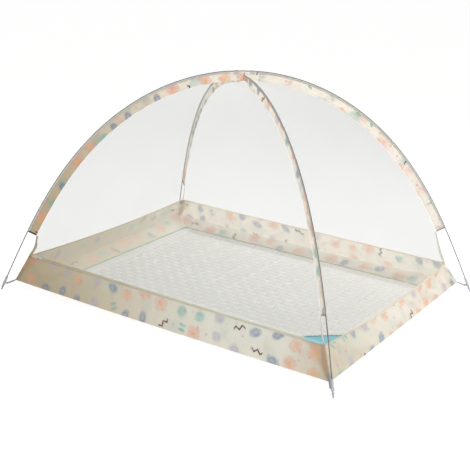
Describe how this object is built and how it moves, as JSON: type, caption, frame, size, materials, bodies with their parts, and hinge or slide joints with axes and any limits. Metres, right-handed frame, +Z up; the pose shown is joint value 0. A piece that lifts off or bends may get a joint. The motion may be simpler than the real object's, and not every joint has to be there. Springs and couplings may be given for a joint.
{
  "type": "mosquito net tent",
  "caption": "Low dome tent of fine net on two crossed bent rods, over a shallow printed tray with a quilted floor pad; the front net opens as a zipped door",
  "frame": {"origin": "centre of the bounding box in plan, at the height of the ground under the feet and the floor sheet", "axes": "X along the tent's length, Y across it from the zipped front towards the back, Z up"},
  "size_m": [2.1334, 1.6022, 1.2458],
  "materials": {
    "rod": "dark grey resin coated rod",
    "gusset_fabric": "tan woven fabric",
    "webbing": "olive webbing",
    "channel_tape": "dark grey woven tape",
    "plain_fabric": "plain cream fabric",
    "hem_tape": "pale yellow sewn tape",
    "printed_fabric": "beige cotton print with small flowers and spots",
    "piping": "yellow green corded piping",
    "floor_fabric": "teal coated fabric",
    "foot_plastic": "light grey plastic",
    "net": "very fine pale knitted net",
    "quilted_fabric": "white quilted padding",
    "dark_binding": "dark bound edge",
    "zip_chain": "pale plastic chain",
    "zip_metal": "plain metal"
  },
  "bodies": {
    "tent": {"arch_rod_lower": "rod", "arch_rod_upper": "rod", "corner_gusset_back_left": "gusset_fabric", "corner_gusset_back_right": "gusset_fabric", "corner_gusset_front_left": "gusset_fabric", "corner_gusset_front_right": "gusset_fabric", "corner_strap_back_left": "webbing", "corner_strap_back_right": "webbing", "corner_strap_front_left": "webbing", "corner_strap_front_right": "webbing", "crown_loop_back_left": "channel_tape", "crown_loop_back_right": "channel_tape", "crown_loop_front_left": "channel_tape", "crown_loop_front_right": "channel_tape", "crown_patch": "plain_fabric", "floor_border_back": "printed_fabric", "floor_border_front": "printed_fabric", "floor_border_left": "printed_fabric", "floor_border_right": "printed_fabric", "floor_piping_back": "piping", "floor_piping_front": "piping", "floor_piping_left": "piping", "floor_piping_right": "piping", "floor_sheet": "floor_fabric", "foot_back_left": "foot_plastic", "foot_back_right": "foot_plastic", "foot_front_left": "foot_plastic", "foot_front_right": "foot_plastic", "hem_tape_back": "hem_tape", "hem_tape_front": "hem_tape", "hem_tape_left": "hem_tape", "hem_tape_right": "hem_tape", "net_back": "net", "net_left": "net", "net_right": "net", "quilted_pad": "quilted_fabric", "rod_channel_back_left": "channel_tape", "rod_channel_back_right": "channel_tape", "rod_channel_front_left": "channel_tape", "rod_channel_front_right": "channel_tape", "sleeve_back_left": "printed_fabric", "sleeve_back_right": "printed_fabric", "sleeve_end_back_left": "dark_binding", "sleeve_end_back_right": "dark_binding", "sleeve_end_front_left": "dark_binding", "sleeve_end_front_right": "dark_binding", "sleeve_front_left": "printed_fabric", "sleeve_front_right": "printed_fabric", "wall_back": "printed_fabric", "wall_front": "printed_fabric", "wall_left": "printed_fabric", "wall_right": "printed_fabric", "zip_chain_lower": "zip_chain"},
    "door": {"net_door_front": "net", "door_zip_tape": "hem_tape", "zip_chain_upper": "zip_chain"},
    "slider": {"zip_slider": "zip_metal"},
    "pull": {"zip_pull": "zip_metal"}
  },
  "joints": [
    {"name": "door_swing", "type": "hinge", "parent": "tent", "child": "door", "pos_m": [0, 0, 1.254], "axis": [-1, 0, 0], "range_deg": [0, 100]},
    {"name": "zip_run", "type": "slide", "parent": "tent", "child": "slider", "axis": [1, 0, 0], "range_m": [0, 1.75]},
    {"name": "pull_swing", "type": "hinge", "parent": "slider", "child": "pull", "pos_m": [-0.862, -0.70685, 0.20558], "axis": [0, 0.3243, 0.9459], "range_deg": [0, 170]}
  ]
}
